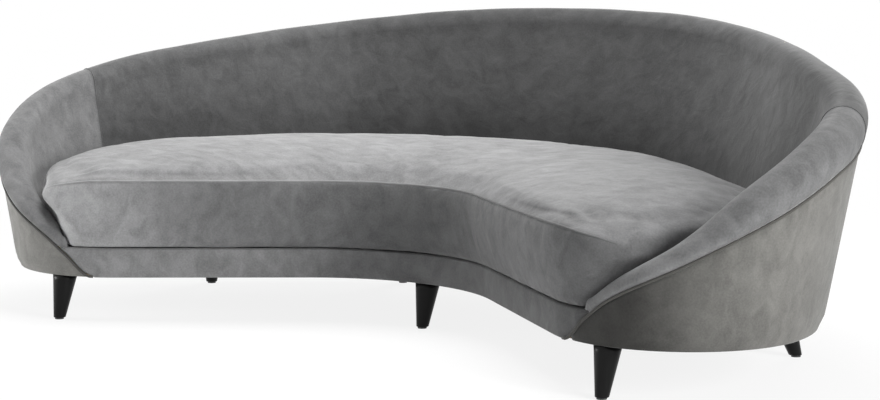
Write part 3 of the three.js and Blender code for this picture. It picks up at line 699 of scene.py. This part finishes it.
def end_height(z):
    return min(max((z - CUSHION_LOW) / (CUSHION_HEIGHT - END_DROP), 0), 1)


def cushion_places(t, z, shrink):
    """The places of a row's front and back, for t from -1 at the left end to 1 at the right end"""
    splay = SPLAY * end_height(z) ** 3 * t ** 6
    front_end = ARM_START - END_GAP - shrink * 3
    side = -1 if t < 0 else 1
    share = abs(t)
    back = lerp(HALF, front_end + END_WIDTH, share) + splay
    return side * (front_end * share + splay), side * back


def cushion_row(t, shrink):
    """Up the front, over the crown, down the back and in underneath; narrower towards the ends"""
    nearness = min(max((abs(t) - 1 + END_TURN) / END_TURN, 0), 1)
    turn = 1 - math.sqrt(max(1 - nearness ** 2, 0))
    low = CUSHION_LOW + 0.2
    seam = SEAM_HEIGHT - shrink - END_DROP * nearness ** 3
    waist = (low + seam) / 2
    full = crown_share(plan_at(cushion_places(t, low, shrink)[1])[4])
    crown = full * lerp(1, END_CROWN, turn)
    proud = PROUD * lerp(END_PROUD, 1, crown)

    def back_offset(share, z):
        return inner_at(share, z) - CUSHION_GAP - shrink

    def back_at(z, lean, tuck):
        place = cushion_places(t, z, shrink)[1]
        return put(place, back_offset(plan_at(place)[4], lean) - tuck, z)

    def front_at(offset, z):
        place = cushion_places(t, z, shrink)[0]
        meeting = back_offset(plan_at(place)[4], min(z, waist))
        turned = turn * (1 - (1 - end_height(z)) ** 6)
        return put(place, lerp(offset - shrink, meeting, turned), z)

    rises = [k / FRONT_ROWS for k in range(FRONT_ROWS + 1)]
    row = [front_at(proud * FRONT_PROUD(rise), lerp(low, seam, rise)) for rise in rises]
    lip = row[-1]
    back_top = back_at(seam, waist, TUCK * (1 - turn))
    for k in range(1, TOP_ROWS):
        across = k / TOP_ROWS
        point = lip.lerp(back_top, across)
        point.z = (seam + CROWN_RISE * crown * CROWN_LIFT(across)) * MM
        row.append(point)
    row.append(back_top)
    for k in range(1, BACK_ROWS + 1):
        z = lerp(seam, low, k / BACK_ROWS)
        tuck = TUCK * (1 - turn) * max(1 - k / BACK_ROWS * 3, 0) ** 2
        row.append(back_at(z, min(z, waist), tuck))
    under = row[0] - row[-1]
    inset = under.normalized() * min(BOTTOM_INSET * MM, under.length / 3)
    return row + [row[-1] + inset, row[0] - inset]


def cushion_start(shrink):
    """The cushion before it is blown up, with its rows closer together towards the ends"""
    even = [k * 2 / STEPS - 1 for k in range(STEPS + 1)]
    steps = [math.copysign(1 - (1 - abs(e)) ** 1.3, e) for e in even]
    return grid_mesh("cushion_start", [cushion_row(t, shrink) for t in steps], closed=True, caps=True)


def remesh(obj, voxel):
    modifier = obj.modifiers.new("remesh", "REMESH")
    modifier.mode, modifier.voxel_size = "VOXEL", voxel
    apply_modifiers(obj)


def swell(obj, pinned, cap):
    """Blows a closed skin up like a filled cover, and keeps each point near where it began"""
    start = [(v.co.copy(), v.normal.copy()) for v in obj.data.vertices]
    group = obj.vertex_groups.new(name="pin")
    for i, v in enumerate(obj.data.vertices):
        group.add([i], pinned(v), "REPLACE")
    modifier = obj.modifiers.new("cloth", "CLOTH")
    settings = modifier.settings
    settings.quality = 4
    settings.mass = 0.4
    settings.use_pressure = True
    settings.uniform_pressure_force = 4.0
    settings.effector_weights.gravity = 0
    settings.vertex_group_mass = "pin"
    settings.pin_stiffness = 0.8
    settings.tension_stiffness = settings.compression_stiffness = 12
    settings.shear_stiffness = 4
    settings.bending_stiffness = 0.6
    modifier.collision_settings.use_collision = False
    modifier.point_cache.frame_start, modifier.point_cache.frame_end = 1, SWELL_FRAMES
    scene = bpy.context.scene
    for step in range(1, SWELL_FRAMES + 1):
        scene.frame_set(step)
    apply_modifiers(obj)
    scene.frame_set(1)
    mesh = obj.data
    for v, (began, normal) in zip(mesh.vertices, start):
        move = v.co - began
        move += normal * max(-move.dot(normal) - LEAST_FILL, 0)
        limit = cap(began)
        v.co = began + move * min(limit / max(move.length, limit), 1)
    mesh.update()


def tree_of(obj):
    mesh = obj.data
    return BVHTree.FromPolygons([v.co for v in mesh.vertices], [tuple(f.vertices) for f in mesh.polygons])


def smooth_mesh(obj):
    work = bmesh.new()
    work.from_mesh(obj.data)
    axes = {f"use_axis_{axis}": True for axis in "xyz"}
    bmesh.ops.smooth_vert(work, verts=work.verts, factor=0.5, **axes)
    work.to_mesh(obj.data)
    work.free()


cushion = new_piece("seat_cushion", cushion_start(SHRINK), CUSHION, seat_velvet)
seam_points = [cushion_row(k / SEAM_STEPS - 1, 0)[FRONT_ROWS] for k in range(SEAM_STEPS * 2 + 1)]
remesh(cushion, VOXEL)
wall = tree_of(shell)
low_edge = (CUSHION_LOW + LOW_HOLD) * MM
seam_line = KDTree(len(seam_points))
for i, point in enumerate(seam_points):
    seam_line.insert(point, i)
seam_line.balance()

def pinned(v):
    return 1.0 if v.co.z < low_edge or seam_line.find(v.co)[2] < SEAM_HOLD else 0.0

def cap(point):
    upper = min(max((point.z / MM - CUSHION_LOW) / CUSHION_HEIGHT, 0), 1)
    room = wall.find_nearest(point)[3]
    return min((LOW_SWELL + MORE_SWELL * upper) * MM, room * 0.5)

swell(cushion, pinned, cap)
smooth_mesh(cushion)
ripple(cushion.data, 0.11, 1.8 * MM)
modifier = cushion.modifiers.new("round", "SUBSURF")
modifier.levels = modifier.render_levels = 1
apply_modifiers(cushion)
for face in cushion.data.polygons:
    face.use_smooth = True
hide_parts("cushion_cover")

# The ridge along the cushion's front seam lies on its skin and sinks into it at both ends
skin = tree_of(cushion)
on_skin = []
kept_points = seam_points[1:-1:2]
for i, point in enumerate(kept_points):
    spot, normal = skin.find_nearest(point)[:2]
    from_end = min(i, len(kept_points) - 1 - i)
    on_skin.append(spot - normal * SEAM_SINK * max(1 - from_end / SINK_POINTS, 0))
seam_mesh = tube_mesh("seat_seam", on_skin, SEAM_RADIUS, 8)
new_piece("seat_seam", seam_mesh, CUSHION, seam_velvet)


# Legs, turned round and smooth, with a soft lower edge
LEG_SIDES, LEG_EDGE, LEG_TOP_RADIUS, LEG_FOOT_RADIUS = 48, 2.5, 33, 16.5
LEG_LOW, LEG_HIGH = 4 + GAP, LEG_HEIGHT - GAP


def leg_rows(top, foot):
    """Rings from the glide up to the plate, leaning from the foot's middle to the top's"""
    profile = [(LEG_FOOT_RADIUS * 0.3, LEG_LOW), (LEG_FOOT_RADIUS - LEG_EDGE, LEG_LOW)]
    for out, rise in quarter_round(5, 1):
        profile.append((LEG_FOOT_RADIUS + LEG_EDGE * (out - 1), LEG_LOW + LEG_EDGE * rise))
    for k in range(1, 9):
        t = k / 8
        profile.append((lerp(LEG_FOOT_RADIUS, LEG_TOP_RADIUS, t), lerp(LEG_LOW + LEG_EDGE, LEG_HIGH, t)))
    ring = [math.tau * k / LEG_SIDES for k in range(LEG_SIDES)]
    rows = []
    for radius, z in profile:
        t = z / LEG_HIGH
        cx, cy = lerp(foot.x, top.x, t), lerp(foot.y, top.y, t)
        rows.append([Vector((cx + radius * math.cos(a), cy + radius * math.sin(a), z)) * MM for a in ring])
    return rows


def centre_of(node):
    low_corner, high_corner = (Vector(c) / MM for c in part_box(node))
    return (low_corner + high_corner) / 2


for name in sorted(n for n in nodes if n.startswith("leg_")):
    place = name.removeprefix("leg_")
    top, foot = centre_of(f"plate_{place}"), centre_of(f"glide_{place}")
    mesh = grid_mesh(f"turned_{name}", leg_rows(top, foot), closed=True, caps=True)
    leg = new_piece(f"turned_{name}", mesh, SOFA, black)
    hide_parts(name)


# Flat cloths: the deck under the cushion and the dust cloth under the frame
CLOTH_SAG, LONGEST_EDGE, WALL_REACH, WALL_SPACE = 0.2 * MM, 60 * MM, 10 * MM, 1 * MM


def cloth_copy(node, name, wall=None):
    """A finer copy of a flat cloth, which sags a little and reaches up to a wall if it has one"""
    mesh = nodes[node].data.copy()
    work = bmesh.new()
    work.from_mesh(mesh)
    bmesh.ops.remove_doubles(work, verts=work.verts, dist=MM / 100)
    for step in range(3):
        long_edges = [e for e in work.edges if e.calc_length() > LONGEST_EDGE]
        bmesh.ops.subdivide_edges(work, edges=long_edges, cuts=1)
        bmesh.ops.triangulate(work, faces=work.faces)
    for v in work.verts:
        wave = math.sin(v.co.x * 11) * math.cos(v.co.y * 13)
        v.co.z += CLOTH_SAG * (wave - 1) / 2
        near, normal, face, room = wall.find_nearest(v.co, WALL_REACH) if wall else (None,) * 4
        if near:
            away = Vector((near.x - v.co.x, near.y - v.co.y, 0))
            v.co += away * max(room - WALL_SPACE, 0) / room
    work.to_mesh(mesh)
    work.free()
    piece = new_piece(name, mesh, SOFA, finishes["webbing"], smooth=False)
    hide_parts(node)
    return piece


cloth_copy("seat_deck", "deck_cloth", tree_of(shell))
cloth_copy("dust_cover", "dust_cloth")


# Floor, light and camera
def area_light(name, place, target, size, power):
    data = bpy.data.lights.new(name, "AREA")
    data.shape, data.size, data.energy = "DISK", size, power
    lamp = bpy.data.objects.new(name, data)
    bpy.context.scene.collection.objects.link(lamp)
    lamp.location = place
    lamp.rotation_euler = (Vector(target) - Vector(place)).to_track_quat("-Z", "Y").to_euler()


def white_for_camera(tree):
    """1 for rays from the camera, in glass and in gloss, and 0 for those that light the scene"""
    path = tree.nodes.new("ShaderNodeLightPath").outputs
    seen = combine(tree, "MAXIMUM", path["Is Camera Ray"], path["Is Glossy Ray"])
    return combine(tree, "MAXIMUM", seen, path["Is Transmission Ray"])


def pale_floor():
    bpy.ops.mesh.primitive_plane_add(size=60)
    floor = bpy.context.object
    floor.name = "floor"
    material, tree, shader = start_material("pale_floor")
    shader.inputs["Base Color"].default_value = (0.86, 0.86, 0.86, 1)
    shader.inputs["Roughness"].default_value = 0.9
    shader.inputs["Specular IOR Level"].default_value = 0.0
    white = node_at(tree, "ShaderNodeEmission", {}, {"Color": (1, 1, 1, 1), "Strength": 1.0})
    mixed = tree.nodes.new("ShaderNodeMixShader")
    coords = tree.nodes.new("ShaderNodeTexCoord").outputs["Object"]
    reach = node_at(tree, "ShaderNodeVectorMath", {"operation": "LENGTH"}, {})
    tree.links.new(coords, reach.inputs[0])
    fade = grade(tree, reach.outputs["Value"], 1.0, 3.0, 0.86, 1.0)
    shown = combine(tree, "MULTIPLY", white_for_camera(tree), fade)
    tree.links.new(shown, mixed.inputs[0])
    tree.links.new(shader.outputs[0], mixed.inputs[1])
    tree.links.new(white.outputs[0], mixed.inputs[2])
    tree.links.new(mixed.outputs[0], tree.nodes["Material Output"].inputs["Surface"])
    floor.data.materials.append(material)


def studio_world(strength):
    world = bpy.data.worlds.new("studio")
    world.use_nodes = True
    tree = world.node_tree
    dim = tree.nodes["Background"]
    dim.inputs["Color"].default_value = (0.96, 0.98, 1, 1)
    dim.inputs["Strength"].default_value = strength
    white = node_at(tree, "ShaderNodeBackground", {}, {"Color": (1, 1, 1, 1), "Strength": 1.0})
    mixed = tree.nodes.new("ShaderNodeMixShader")
    tree.links.new(white_for_camera(tree), mixed.inputs[0])
    tree.links.new(dim.outputs[0], mixed.inputs[1])
    tree.links.new(white.outputs[0], mixed.inputs[2])
    tree.links.new(mixed.outputs[0], tree.nodes["World Output"].inputs["Surface"])
    bpy.context.scene.world = world


pale_floor()
studio_world(0.17)
area_light("top_light", (-0.3, 0.2, 3.6), (0, -0.1, 0.3), 2.4, 150)
area_light("side_light", (5.0, -1.0, 1.8), (0, 0, 0.4), 1.8, 230)
area_light("left_light", (-2.7, -1.6, 0.8), (-1.1, -0.2, 0.35), 0.9, 34)
area_light("back_light", (-1.0, 4.6, 2.2), (0, 0, 0.4), 2.2, 90)

CAMERA_PLACE = Vector((3482, -4509 + SHIFT, 1012)) * MM
YAW, PITCH = math.radians(37.11), math.radians(6.72)
forward = Vector((-math.sin(YAW) * math.cos(PITCH), math.cos(YAW) * math.cos(PITCH), -math.sin(PITCH)))
right = Vector((math.cos(YAW), math.sin(YAW), 0))
up = right.cross(forward)
camera_data = bpy.data.cameras.new("camera")
camera_data.sensor_width, camera_data.lens = 36, 90
camera = bpy.data.objects.new("camera", camera_data)
bpy.context.scene.collection.objects.link(camera)
turned = Matrix((right, up, -forward)).transposed().to_4x4()
camera.matrix_world = Matrix.Translation(CAMERA_PLACE) @ turned
bpy.context.scene.camera = camera
bpy.context.scene.view_settings.view_transform = "Standard"
